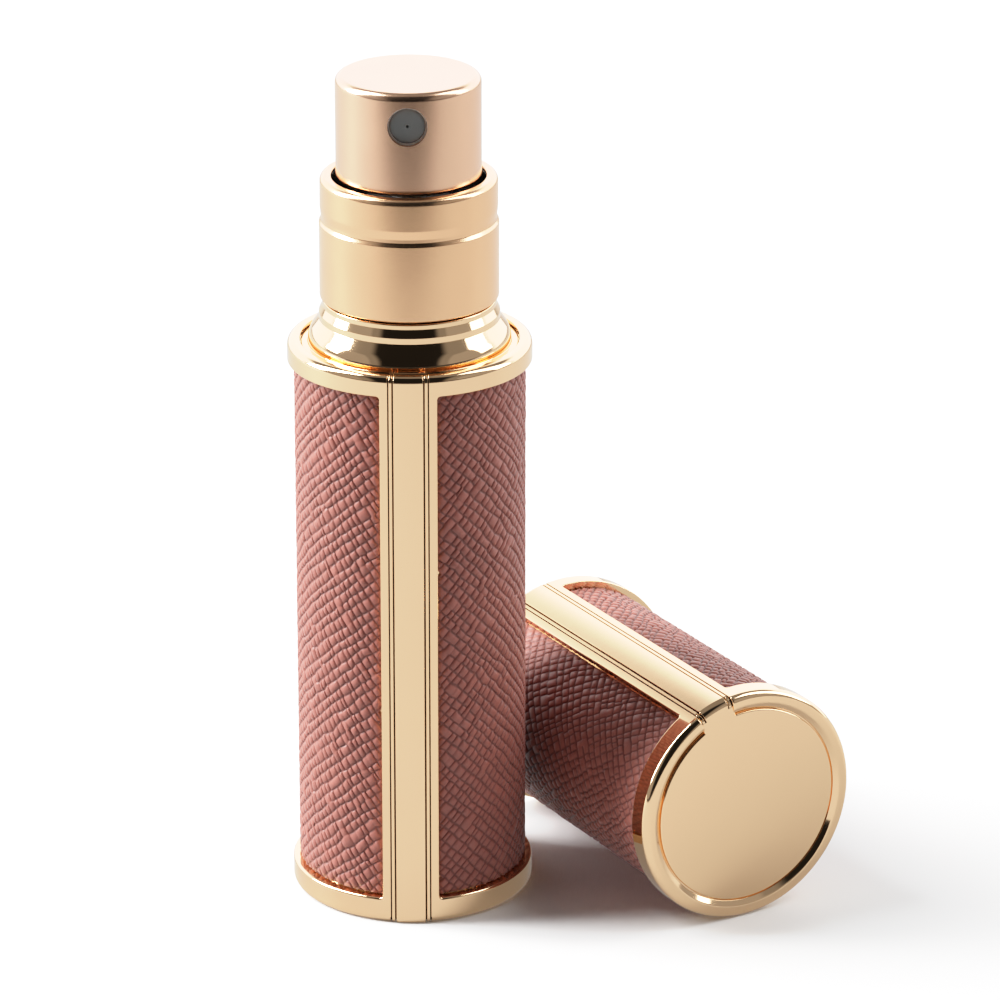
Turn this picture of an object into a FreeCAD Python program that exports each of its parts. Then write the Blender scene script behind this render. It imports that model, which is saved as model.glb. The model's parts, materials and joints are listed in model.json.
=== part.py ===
"""Refillable perfume atomiser: a leather-wrapped case with a screw-on spray pump, its cap lying beside it.

Millimetres, +Z up. The origin is the centre of the case's base on the surface that it stands on, the
bottle's axis is Z, and the front, with the metal strip and the nozzle, faces -Y. Node names are file names.
"""
import FreeCAD, Part
import math
import os

V = FreeCAD.Vector
UP = V(0, 0, 1)

# --- Driving dimensions -------------------------------------------------------------------------------

RING_R = 12.0            # outside of the mouth and end rings of the case and of the cap
LEATHER_R = 11.4         # outside of the leather
TUBE_R = 10.95           # outside of the metal shell under the leather
TUBE_WALL = 0.35
CASE_H = 57.6            # base to rim of the case
CAP_L = 35.95            # mouth to closed end of the cap
END_RING_W = 2.6         # width of the ring round the closed end
MOUTH_RING_W = 2.15      # width of the ring round the mouth
MOUTH_R = 10.75          # opening in the rim's top face
DISC_R = 10.05           # flat disc in the closed end
STRIP_R = 12.05          # the front strip stands a little proud of the rings
STRIP_HALF = 1.45        # half width of the strip
GROOVE_W = 0.15          # fine groove beside the strip
LAND_HALF = 1.90         # outer edge of the narrow land beside the groove
RAIL_IN = 2.02           # inner edge of the frame's rail
RAIL_OUT = 2.84          # outer edge of the rail, where the leather starts
RIM_EDGE = 0.7           # rounding of the rim's outer edge
END_EDGE = 0.7           # rounding of the closed end's outer edge
WINDOW_EDGE = 0.25       # rounding of the frame's edge along the leather

VIAL_R = 9.3
VIAL_BASE_Z = 2.15
VIAL_BORE_R = 8.2
NECK_R = 6.35
NECK_BORE_R = 4.3
NECK_TOP_Z = 67.2
THREAD_PITCH = 2.1
THREAD_R = 7.0
THREAD_TURNS = 1.6
THREAD_Z = 62.6          # where the thread on the neck starts
THREAD_PLAY = 0.14

COLLAR_R = 8.75
COLLAR_BOTTOM_Z = 61.9
COLLAR_TOP_Z = 74.2
COLLAR_MOUTH_R = 7.5
COLLAR_BORE_R = 8.35
COLLAR_LIP = 0.4         # thickness of the turned-in lip
SNAP_Z = 70.15           # groove that the cap snaps into
SNAP_R = 8.55

STROKE = 4.0             # travel of the spray head
RETAINER_TOP_Z = 71.6    # highest part of the pump that the spray head comes down over
HEAD_R = 7.075
HEAD_BOTTOM_Z = 74.05
HEAD_TOP_Z = 84.25
HEAD_EDGE = 0.75         # rounding of the spray head's top edge
HEAD_WALL = 0.5
HEAD_ROLL = 0.38         # rounding of its bottom edge
NOZZLE_Z = 81.0
NOZZLE_FACE_Y = -6.55    # the insert sits half a millimetre deep in its hole
NOZZLE_BACK_Y = -3.55
NOZZLE_R = 1.72
NOZZLE_HOLE_R = 1.92

PISTON_R = 2.87
PUMP_BORE_R = 2.90
PUMP_R = 3.6
PUMP_HEAD_R = 4.2        # the housing where it fills the neck
STEM_R = 1.6
STEM_BORE_R = 0.7
TUBE_DIP_R = 0.85
TUBE_DIP_BORE_R = 0.5
BALL_R = 1.0

CAP_X = 33.33            # centre of the cap's closed end, on the surface
CAP_Y = -10.12
CAP_HEADING = -59.5      # direction of the cap's axis, mouth to closed end, from +X
CAP_ROLL = 19.3          # how far the cap's strip is turned from straight up, towards the bottle


# --- Ways to make a shape -----------------------------------------------------------------------------

def corner_arc(before, point, after, radius):
    """Start, middle and end of the arc that rounds an outline's corner."""
    to_before = (before - point).normalize()
    to_after = (after - point).normalize()
    half = to_before.getAngle(to_after) / 2
    reach = radius / math.tan(half)
    bisector = (to_before + to_after).normalize()
    middle = point + bisector * (radius / math.sin(half) - radius)
    return point + to_before * reach, middle, point + to_after * reach


def outline(corners):
    """Closed face in the XZ plane. A corner is (radius, height), with a third number to round it."""
    points = [V(corner[0], 0, corner[1]) for corner in corners]
    spans = []
    for i, corner in enumerate(corners):
        if len(corner) == 3:
            spans.append(corner_arc(points[i - 1], points[i], points[(i + 1) % len(points)], corner[2]))
        else:
            spans.append((points[i],))
    edges = []
    for i, span in enumerate(spans):
        if len(span) == 3:
            edges.append(Part.Arc(*span).toShape())
        following = spans[(i + 1) % len(spans)][0]
        if (following - span[-1]).Length > 1e-6:
            edges.append(Part.LineSegment(span[-1], following).toShape())
    return Part.Face(Part.Wire(edges))


def lathe(*corners):
    """Solid of revolution about Z."""
    return outline(corners).revolve(V(0, 0, 0), UP, 360)


def sleeve(r_in, r_out, low, high):
    outside = Part.makeCylinder(r_out, high - low, V(0, 0, low))
    return outside.cut(Part.makeCylinder(r_in, high - low, V(0, 0, low)))


def front_slab(half_width, low, high, inner=0.0):
    """Block across the front, from x = -half_width to half_width, used to pick out or cut the strip."""
    depth = RING_R + 2
    slab = Part.makeBox(2 * half_width, depth, high - low, V(-half_width, -depth, low))
    if inner > 0:
        slab = slab.cut(Part.makeBox(2 * inner, depth, high - low, V(-inner, -depth, low)))
    return slab


def thread(radius_root, radius_crest, root_w, crest_w, start_z, turns):
    """Right-hand helical ridge, for a screw thread."""
    path = Part.makeHelix(THREAD_PITCH, THREAD_PITCH * turns, radius_root)
    path.translate(V(0, 0, start_z))
    section = Part.makePolygon(
        [
            V(radius_root, 0, start_z - root_w / 2),
            V(radius_crest, 0, start_z - crest_w / 2),
            V(radius_crest, 0, start_z + crest_w / 2),
            V(radius_root, 0, start_z + root_w / 2),
            V(radius_root, 0, start_z - root_w / 2),
        ]
    )
    return Part.Wire(path.Edges).makePipeShell([section], True, True)


def export(shapes):
    os.makedirs("parts", exist_ok=True)
    for name, shape in shapes.items():
        solids = shape.Solids
        if not solids or not shape.isValid():
            raise ValueError(f"{name} is not a sound solid")
        solid = solids[0] if len(solids) == 1 else Part.makeCompound(solids)
        solid.exportStep(f"parts/{name}.step")
        print(f"{name:16s} {len(solids)} solid, {solid.Volume:9.2f} mm3")


# --- The wrapped shells of the case and the cap -------------------------------------------------------

def window(low, high, half_width, corner_r):
    """Ring-shaped space for the leather, open all round but for the front rails, with rounded corners."""
    space = sleeve(TUBE_R, RING_R + 1, low, high)
    space = space.cut(front_slab(half_width, low, high))
    corners = []
    for edge in space.Edges:
        ends = [vertex.Point for vertex in edge.Vertexes]
        if len(ends) == 2 and edge.Length < 4 and abs(ends[0].z - ends[1].z) < 1e-6:
            if abs(abs(ends[0].x) - half_width) < 1e-6:
                corners.append(edge)
    return space.makeFillet(corner_r, corners)


def shell_core(length, recess, tab_edge_r):
    """Metal shell under the leather: tube, closed end with its disc, and the strip up the front."""
    tube_in = TUBE_R - TUBE_WALL
    plate_z = 0.6
    floor_z = 1.0
    tube_top = length - 0.7
    body = lathe(
        (0, recess),
        (DISC_R, recess, 0.2),
        (DISC_R, plate_z),
        (TUBE_R, plate_z),
        (TUBE_R, tube_top, 0.08),
        (tube_in, tube_top, 0.08),
        (tube_in, floor_z, 0.3),
        (0, floor_z),
    )
    strip_back = 11.2
    ring_low = length - MOUTH_RING_W
    band = lathe(
        (DISC_R - 1, recess),
        (STRIP_R, recess, tab_edge_r),
        (STRIP_R, length, RIM_EDGE),
        (strip_back, length),
        (strip_back, ring_low - 0.03),
        (TUBE_R - 0.1, ring_low - 0.03),
        (TUBE_R - 0.1, floor_z),
        (DISC_R - 1, floor_z),
    )
    strip = band.common(front_slab(STRIP_HALF + GROOVE_W, recess, length))
    groove = sleeve(STRIP_R - 0.2, RING_R + 1, recess - 1, length + 1)
    groove = groove.common(front_slab(STRIP_HALF + GROOVE_W + 0.01, recess - 1, length + 1, STRIP_HALF))
    land_low = recess + 0.25
    land = lathe(
        (DISC_R - 1, land_low),
        (RING_R, land_low, 0.2),
        (RING_R, length, RIM_EDGE),
        (strip_back, length),
        (strip_back, ring_low - 0.03),
        (TUBE_R - 0.1, ring_low - 0.03),
        (TUBE_R - 0.1, floor_z),
        (DISC_R - 1, floor_z),
    )
    land = land.common(front_slab(LAND_HALF, land_low, length, STRIP_HALF + GROOVE_W))
    tab = sleeve(DISC_R - 1, RING_R - 0.4, recess, floor_z)
    tab = tab.common(front_slab(LAND_HALF, recess, floor_z))
    return body.fuse([strip.cut(groove), land, tab]).removeSplitter()


def on_window_rim(edge, low, high):
    """Whether an edge lies on the frame's outside, along the leather's window."""
    start, end = edge.ParameterRange
    for share in (0.0, 0.3, 0.7, 1.0):
        point = edge.valueAt(start + share * (end - start))
        if abs(math.hypot(point.x, point.y) - RING_R) > 1e-4:
            return False
        if point.z < low - 1e-4 or point.z > high + 1e-4:
            return False
    return True


def shell_frame(length):
    """Outer metal frame: mouth ring, ring round the closed end, and a rail each side of the strip."""
    low = END_RING_W
    high = length - MOUTH_RING_W
    end_inner = DISC_R + 0.15
    tube_room = TUBE_R + 0.02
    full = lathe(
        (RING_R, 0, END_EDGE),
        (RING_R, length, RIM_EDGE),
        (MOUTH_R, length, 0.15),
        (MOUTH_R, length - 0.6),
        (tube_room, length - 0.6),
        (tube_room, 0.58),
        (end_inner, 0.58),
        (end_inner, 0.33, 0.06),
        (end_inner + 0.55, 0, 0.5),
    )
    frame = full.cut(window(low, high, RAIL_OUT, 0.35))
    rim = [edge for edge in frame.Edges if on_window_rim(edge, low, high)]
    frame = frame.makeFillet(WINDOW_EDGE, rim)
    strip_room = 11.18
    slot = sleeve(strip_room, RING_R + 1, high, length + 1).fuse(sleeve(DISC_R, RING_R + 1, -1, high))
    return frame.cut(slot.common(front_slab(RAIL_IN, -1, length + 1)))


def shell_leather(length):
    """Leather wrapped round the shell, in the frame's window."""
    gap = 0.05
    low = END_RING_W + gap
    high = length - MOUTH_RING_W - gap
    wrap = sleeve(TUBE_R + 0.02, LEATHER_R, low, high)
    return wrap.common(window(low, high, RAIL_OUT + gap, 0.33))


def case_liner():
    """Plastic sleeve in the case, with ribs that grip the vial."""
    outer = TUBE_R - TUBE_WALL - 0.05
    inner = 9.65
    body = lathe(
        (0, 1.05),
        (outer, 1.05, 0.35),
        (outer, CASE_H - 1.0, 0.15),
        (inner, CASE_H - 1.0, 0.3),
        (inner, VIAL_BASE_Z - 0.03),
        (0, VIAL_BASE_Z - 0.03),
    )
    ribs = []
    rib_count = 6
    for i in range(rib_count):
        rib = Part.makeBox(inner + 0.2 - (VIAL_R + 0.04), 0.8, 42, V(VIAL_R + 0.04, -0.4, 8))
        rib.rotate(V(0, 0, 0), UP, 360 * i / rib_count)
        ribs.append(rib)
    return body.fuse(ribs)


def cap_liner():
    """Plastic sleeve in the cap, closed end low. Four slots leave fingers that snap onto the collar."""
    outer = TUBE_R - TUBE_WALL - 0.05
    bore = 9.0
    bead_z = CAP_L - (SNAP_Z - CASE_H)
    step_z = CAP_L - 4.6
    body = lathe(
        (outer, 1.3),
        (outer, CAP_L - 0.75, 0.1),
        (10.3, CAP_L - 0.75, 0.1),
        (10.3, step_z),
        (bore, step_z, 0.4),
        (bore, bead_z + 0.6),
        (bore - 0.22, bead_z, 0.3),
        (bore, bead_z - 0.6),
        (bore, 2.3),
        (outer - 2.4, 2.3),
        (outer - 2.4, 1.3),
    )
    slots = []
    for angle in (45, 135, 225, 315):
        slot = Part.makeBox(3.2, 1.0, 11, V(7.0, -0.5, bead_z - 5.5))
        slot.rotate(V(0, 0, 0), UP, angle)
        slots.append(slot)
    return body.cut(Part.makeCompound(slots))


def lay_cap_down(shape):
    """Turns a cap made closed end down at the origin onto its side beside the bottle."""
    heading = math.radians(CAP_HEADING)
    roll = math.radians(CAP_ROLL)
    to_end = V(math.cos(heading), math.sin(heading), 0)
    across = UP.cross(to_end)
    strip_way = UP * math.cos(roll) - across * math.sin(roll)
    z_axis = to_end * -1
    y_axis = strip_way * -1
    x_axis = y_axis.cross(z_axis)
    place = FreeCAD.Matrix()
    for row, parts in enumerate(zip(x_axis, y_axis, z_axis, V(CAP_X, CAP_Y, RING_R))):
        for column, value in enumerate(parts):
            setattr(place, f"A{row + 1}{column + 1}", value)
    return shape.transformed(place)


# --- The refill ---------------------------------------------------------------------------------------

def vial():
    """Glass vial with a threaded neck."""
    body = lathe(
        (0, VIAL_BASE_Z),
        (VIAL_R, VIAL_BASE_Z, 1.2),
        (VIAL_R, 56.7, 1.6),
        (NECK_R, 57.4, 0.25),
        (NECK_R, NECK_TOP_Z, 0.4),
        (NECK_BORE_R, NECK_TOP_Z, 0.3),
        (NECK_BORE_R, 56.2, 0.8),
        (VIAL_BORE_R, 55.4, 1.4),
        (VIAL_BORE_R, VIAL_BASE_Z + 1.7, 1.4),
        (0, VIAL_BASE_Z + 1.4),
    )
    ridge = thread(NECK_R - 0.15, THREAD_R, 1.1, 0.6, THREAD_Z, THREAD_TURNS)
    return body.fuse(ridge)


def shoulder_ring():
    """Polished bell-shaped ring on the vial's shoulder."""
    return lathe(
        (NECK_R + 0.05, 61.68),
        (8.5, 61.68, 0.15),
        (8.5, 61.13, 0.15),
        (8.85, 60.38, 0.15),
        (8.85, 59.76, 0.12),
        (9.95, 58.25, 2.3),
        (9.95, 57.25, 0.1),
        (10.6, 57.2, 0.12),
        (10.6, 56.95, 0.05),
        (9.4, 56.95, 0.15),
        (9.35, 58.0),
        (8.2, 59.6),
        (7.9, 61.0),
        (NECK_R + 0.05, 61.0),
    )


# --- The pump -----------------------------------------------------------------------------------------

def pump_housing():
    return lathe(
        (TUBE_DIP_R + 0.02, 45.0),
        (1.9, 45.0, 0.15),
        (1.9, 48.9),
        (PUMP_R, 51.6, 0.6),
        (PUMP_R, 65.6, 0.3),
        (PUMP_HEAD_R, 66.2, 0.3),
        (PUMP_HEAD_R, 67.95),
        (6.2, 67.95),
        (6.2, 68.9, 0.2),
        (4.6, 68.9),
        (4.6, 70.9, 0.2),
        (3.87, 70.9),
        (3.87, 67.4),
        (PUMP_BORE_R, 66.6),
        (PUMP_BORE_R, 52.3),
        (0.9, 52.3, 0.1),
        (0.9, 51.8, 0.1),
        (1.35, 51.5),
        (1.35, 49.95),
        (0.6, 49.2),
        (0.6, 48.5),
        (TUBE_DIP_R + 0.02, 48.5),
    )


def pump_retainer():
    """Plastic cap that snaps into the housing's top and guides the stem."""
    return lathe(
        (STEM_R + 0.06, 67.9),
        (3.85, 67.9, 0.15),
        (3.85, 70.95),
        (4.6, 70.95),
        (4.6, RETAINER_TOP_Z, 0.3),
        (STEM_R + 0.06, RETAINER_TOP_Z, 0.15),
    )


def neck_gasket():
    return sleeve(PUMP_HEAD_R + 0.05, 6.2, NECK_TOP_Z + 0.01, 67.94)


def stem_seal():
    return lathe(
        (STEM_R + 0.02, 67.45),
        (3.7, 67.45, 0.1),
        (3.7, 67.85, 0.1),
        (STEM_R + 0.02, 67.85),
    )


def dip_tube():
    tube = sleeve(TUBE_DIP_BORE_R, TUBE_DIP_R, 4.8, 48.4)
    bevel = Part.makeBox(4, 4, 4, V(-2, -2, -4))
    bevel.rotate(V(0, 0, 0), V(1, 0, 0), 30)
    bevel.translate(V(0, 0, 4.9))
    return tube.cut(bevel)


def pump_spring():
    """Compression spring between the housing's floor and the piston."""
    wire_r = 0.22
    coil_r = 2.2
    low = 52.35 + wire_r
    high = 60.45 - wire_r
    turns = 5.5
    path = Part.makeHelix((high - low) / turns, high - low, coil_r)
    path.translate(V(0, 0, low))
    section = Part.Wire(Part.makeCircle(wire_r, V(coil_r, 0, low), V(0, 1, 0)))
    return Part.Wire(path.Edges).makePipeShell([section], True, True)


def check_ball():
    seat_z = 49.2
    seat_r = 0.6
    centre_z = seat_z - seat_r + BALL_R * math.sqrt(2) + 0.03
    return Part.makeSphere(BALL_R, V(0, 0, centre_z))


def piston():
    return lathe(
        (STEM_BORE_R, 60.5),
        (2.3, 60.5, 0.15),
        (PISTON_R - 0.15, 60.9),
        (PISTON_R, 61.1),
        (PISTON_R, 61.7, 0.2),
        (2.5, 62.0),
        (2.5, 62.8),
        (PISTON_R, 63.1, 0.1),
        (PISTON_R, 63.7, 0.2),
        (STEM_R + 0.01, 63.7),
        (STEM_R + 0.01, 61.4),
        (STEM_BORE_R, 61.4),
    )


def stem():
    """Hollow stem from the piston up into the spray head, with side holes just above the piston."""
    body = lathe(
        (STEM_BORE_R, 61.45),
        (STEM_R, 61.45, 0.1),
        (STEM_R, 79.2, 0.2),
        (STEM_BORE_R, 79.2, 0.1),
    )
    hole = Part.makeCylinder(0.3, 4, V(-2, 0, 64.6), V(1, 0, 0))
    return body.cut(hole)


# --- The collar ---------------------------------------------------------------------------------------

def collar_shell():
    """Satin metal collar with a turned-in lip and the groove that the cap snaps into."""
    upper_r = COLLAR_R - 0.1
    return lathe(
        (COLLAR_BORE_R, COLLAR_BOTTOM_Z),
        (COLLAR_R, COLLAR_BOTTOM_Z, 0.2),
        (COLLAR_R, SNAP_Z - 0.6, 0.15),
        (SNAP_R, SNAP_Z - 0.3, 0.25),
        (SNAP_R, SNAP_Z + 0.3, 0.3),
        (upper_r, SNAP_Z + 0.6, 0.2),
        (upper_r, COLLAR_TOP_Z, 0.8),
        (COLLAR_MOUTH_R, COLLAR_TOP_Z, 0.2),
        (COLLAR_MOUTH_R, COLLAR_TOP_Z - COLLAR_LIP, 0.15),
        (COLLAR_BORE_R, COLLAR_TOP_Z - COLLAR_LIP, 0.4),
    )


def collar_insert():
    """Threaded plastic insert pressed into the collar, with a thin lining up to the lip."""
    lining_top = COLLAR_TOP_Z - COLLAR_LIP - 0.02
    body = lathe(
        (NECK_R + 0.2, COLLAR_BOTTOM_Z + 0.2),
        (COLLAR_BORE_R - 0.02, COLLAR_BOTTOM_Z + 0.2, 0.2),
        (COLLAR_BORE_R - 0.02, lining_top, 0.45),
        (COLLAR_MOUTH_R + 0.05, lining_top, 0.1),
        (COLLAR_MOUTH_R + 0.05, 69.8, 0.1),
        (4.75, 69.8, 0.15),
        (4.75, 68.98),
        (NECK_R + 0.2, 68.98),
    )
    lead_in = 1.0
    space = thread(
        NECK_R - 0.15,
        THREAD_R + THREAD_PLAY,
        1.1 + 2 * THREAD_PLAY,
        0.6 + 2 * THREAD_PLAY,
        THREAD_Z - lead_in * THREAD_PITCH,
        THREAD_TURNS + lead_in + 0.06,
    )
    return body.cut(space)


# --- The spray head -----------------------------------------------------------------------------------

def actuator_shell():
    """Satin metal cap of the spray head, with the hole for the nozzle."""
    inner = HEAD_R - HEAD_WALL
    shell = lathe(
        (0, HEAD_TOP_Z),
        (HEAD_R, HEAD_TOP_Z, HEAD_EDGE),
        (HEAD_R, HEAD_BOTTOM_Z, HEAD_ROLL),
        (inner, HEAD_BOTTOM_Z, 0.08),
        (inner, HEAD_TOP_Z - HEAD_WALL, 0.3),
        (0, HEAD_TOP_Z - HEAD_WALL),
    )
    hole = Part.makeCylinder(NOZZLE_HOLE_R, HEAD_R, V(0, -HEAD_R - 1, NOZZLE_Z), V(0, 1, 0))
    return shell.cut(hole)


def actuator_core():
    """Plastic body of the spray head: stem socket, channel and nozzle seat."""
    outer = HEAD_R - HEAD_WALL - 0.03
    boss_z = RETAINER_TOP_Z + STROKE + 0.25
    recess_z = boss_z + 0.75
    body = lathe(
        (STEM_R + 0.03, boss_z),
        (3.0, boss_z, 0.15),
        (3.0, recess_z),
        (5.2, recess_z),
        (5.2, HEAD_BOTTOM_Z + 0.5),
        (outer, HEAD_BOTTOM_Z + 0.5, 0.2),
        (outer, HEAD_TOP_Z - HEAD_WALL - 0.05, 0.4),
        (0, HEAD_TOP_Z - HEAD_WALL - 0.05),
        (0, 79.25),
        (STEM_R + 0.03, 79.25),
    )
    seat = Part.makeCylinder(NOZZLE_R + 0.02, 4.5, V(0, -8, NOZZLE_Z), V(0, 1, 0))
    channel = Part.makeCylinder(0.6, 4.2, V(0, -3.8, NOZZLE_Z), V(0, 1, 0))
    riser = Part.makeCylinder(0.6, NOZZLE_Z - 79.0, V(0, 0, 79.0))
    return body.cut(seat.fuse([channel, riser]))


def nozzle_insert():
    """Round swirl insert, with a shallow dish and a fine orifice."""
    along = V(0, 1, 0)
    length = NOZZLE_BACK_Y - NOZZLE_FACE_Y
    face = V(0, NOZZLE_FACE_Y, NOZZLE_Z)
    plug = Part.makeCylinder(NOZZLE_R, length, face, along)
    front = [edge for edge in plug.Edges if abs(edge.CenterOfMass.y - NOZZLE_FACE_Y) < 1e-6]
    plug = plug.makeFillet(0.15, front)
    dish_depth = 0.1
    dish = Part.makeCone(0.32, 0.2, dish_depth, face, along)
    orifice = Part.makeCylinder(0.12, length, face, along)
    chamber_depth = 2.0
    chamber = Part.makeCylinder(0.7, chamber_depth, face + along * (length - chamber_depth), along)
    return plug.cut(dish.fuse([orifice, chamber]))


def main():
    shapes = {
        "case_core": shell_core(CASE_H, 0.0, 0.45),
        "case_frame": shell_frame(CASE_H),
        "case_leather": shell_leather(CASE_H),
        "case_liner": case_liner(),
        "vial": vial(),
        "shoulder_ring": shoulder_ring(),
        "pump_housing": pump_housing(),
        "pump_retainer": pump_retainer(),
        "neck_gasket": neck_gasket(),
        "stem_seal": stem_seal(),
        "dip_tube": dip_tube(),
        "pump_spring": pump_spring(),
        "check_ball": check_ball(),
        "piston": piston(),
        "stem": stem(),
        "collar_shell": collar_shell(),
        "collar_insert": collar_insert(),
        "actuator_shell": actuator_shell(),
        "actuator_core": actuator_core(),
        "nozzle_insert": nozzle_insert(),
        "cap_core": lay_cap_down(shell_core(CAP_L, 0.2, 0.8)),
        "cap_frame": lay_cap_down(shell_frame(CAP_L)),
        "cap_leather": lay_cap_down(shell_leather(CAP_L)),
        "cap_liner": lay_cap_down(cap_liner()),
    }
    export(shapes)


main()
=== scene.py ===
"""Looks of the perfume atomiser: finely rounded plated metal, embossed leather, studio light and camera.

Shapes are written in millimetres in the bottle's own frame (+Z up, front towards -Y) and turned into metres when
a piece is made. The cap is made like the case, closed end down at the origin, and is then laid where it lies.
"""
import json
import math

import bmesh
import bpy
import numpy as np
from mathutils import Matrix, Vector
from mathutils.geometry import delaunay_2d_cdt


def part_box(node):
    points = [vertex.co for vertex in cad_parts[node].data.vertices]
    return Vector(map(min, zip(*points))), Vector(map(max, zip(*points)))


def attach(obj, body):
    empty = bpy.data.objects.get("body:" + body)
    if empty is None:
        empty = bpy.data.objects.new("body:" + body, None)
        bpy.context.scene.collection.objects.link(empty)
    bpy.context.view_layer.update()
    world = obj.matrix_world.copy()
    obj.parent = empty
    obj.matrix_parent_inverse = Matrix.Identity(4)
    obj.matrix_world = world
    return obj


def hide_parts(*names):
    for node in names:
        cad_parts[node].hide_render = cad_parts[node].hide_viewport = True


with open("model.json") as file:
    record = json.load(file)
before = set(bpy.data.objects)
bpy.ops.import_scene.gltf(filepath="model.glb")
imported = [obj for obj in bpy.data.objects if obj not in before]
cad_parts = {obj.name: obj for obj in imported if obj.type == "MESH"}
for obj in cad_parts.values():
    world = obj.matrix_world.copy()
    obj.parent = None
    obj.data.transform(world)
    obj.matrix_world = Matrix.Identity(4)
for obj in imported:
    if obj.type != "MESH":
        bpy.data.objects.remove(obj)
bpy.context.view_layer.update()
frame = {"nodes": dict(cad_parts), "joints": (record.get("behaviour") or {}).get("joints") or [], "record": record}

MM = 0.001
TURN = 2 * math.pi


def top(node):
    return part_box(node)[1].z / MM


def bottom(node):
    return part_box(node)[0].z / MM


def radius(node):
    low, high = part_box(node)
    return (high.x - low.x) / 2 / MM


# --- Sizes, from the frame where it has them ----------------------------------------------------------

RING_R = radius("case_frame")
CASE_H = top("case_frame")
LEATHER_R = radius("case_leather")
LEATHER_LOW = bottom("case_leather")
LEATHER_GAP = 0.05
END_RING_W = LEATHER_LOW - LEATHER_GAP
MOUTH_RING_W = CASE_H - top("case_leather") - LEATHER_GAP
CAP_L = 35.95
TUBE_R = 10.95
TUBE_IN = 10.6
MOUTH_R = 10.75
DISC_R = 10.05
STRIP_R = RING_R + 0.05
STRIP_HALF = 1.45
LAND_IN = 1.60
LAND_OUT = 1.90
RAIL_IN = 2.02
RAIL_OUT = 2.84
WINDOW_CORNER = 0.35
RIM_EDGE = 0.7
END_EDGE = 0.7
HEAD_EDGE = 0.75
HEAD_ROLL = 0.38
HEAD_WALL = 0.5
CAP_ROLL = math.radians(19.3)

SEGMENTS = 256           # round the axis
ARC_STEP = math.radians(9)
FACE_STEP = 0.29         # width of a face along the rings' outside
GROOVE_DEPTH = 0.20      # of the V-shaped grooves beside the strip


# --- Outlines -----------------------------------------------------------------------------------------

def outline(corners):
    """Runs of an outline in the (radius, height) plane, each a list of (point, outward normal). A corner is
    (radius, height) with a third number to round it. The runs follow each other and close."""
    points = [np.array(corner[:2], float) for corner in corners]
    after = np.roll(points, -1, axis=0)
    area = sum(p[0] * q[1] - q[0] * p[1] for p, q in zip(points, after))
    if area < 0:
        points.reverse()
        corners = corners[::-1]
    count = len(points)
    arcs = []
    for i, corner in enumerate(corners):
        before, point, following = points[i - 1], points[i], points[(i + 1) % count]
        d1 = (point - before) / np.linalg.norm(point - before)
        d2 = (following - point) / np.linalg.norm(following - point)
        bend = math.atan2(d1[0] * d2[1] - d1[1] * d2[0], d1 @ d2)
        if len(corner) < 3 or abs(bend) < 1e-6:
            arcs.append([(point, None)])
            continue
        r = corner[2]
        reach = r * math.tan(abs(bend) / 2)
        side = 1 if bend > 0 else -1
        n1 = np.array([d1[1], -d1[0]])
        centre = point - d1 * reach - n1 * r * side
        steps = max(2, math.ceil(abs(bend) / ARC_STEP))
        arc = []
        for k in range(steps + 1):
            t = bend * k / steps
            n = np.array([n1[0] * math.cos(t) - n1[1] * math.sin(t), n1[0] * math.sin(t) + n1[1] * math.cos(t)])
            arc.append((centre + n * r * side, n))
        arcs.append(arc)
    runs = []
    for i, arc in enumerate(arcs):
        if len(arc) > 1:
            runs.append(arc)
        start, end = arc[-1][0], arcs[(i + 1) % count][0][0]
        along = end - start
        if np.linalg.norm(along) > 1e-6:
            along = along / np.linalg.norm(along)
            normal = np.array([along[1], -along[0]])
            runs.append([(start, normal), (end, normal)])
    return runs


def inset_ways(runs):
    """For each point of each run, the way it moves as the outline shrinks by one."""
    ways = []
    for i, run in enumerate(runs):
        way = [n.copy() for _, n in run]
        for at, other in ((0, runs[i - 1][-1][1]), (-1, runs[(i + 1) % len(runs)][0][1])):
            n = run[at][1]
            way[at] = (n + other) / max(1 + n @ other, 0.3)
        ways.append(way)
    return ways


def show(name, data):
    """Puts an object in the scene."""
    thing = bpy.data.objects.new(name, data)
    bpy.context.scene.collection.objects.link(thing)
    return thing


def make_piece(name, mesh, material, place):
    """Visible piece of a mesh, moved to its place if it has one."""
    mesh.materials.append(material)
    if place is not None:
        mesh.transform(place)
    return show(name, mesh)


def around(angle):
    """Outward and sideways directions at an angle from the front, growing towards +X."""
    return np.array([math.sin(angle), -math.cos(angle), 0.0]), np.array([math.cos(angle), math.sin(angle), 0.0])


# --- Skins: patches with exact normals, joined into one mesh ------------------------------------------

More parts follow.
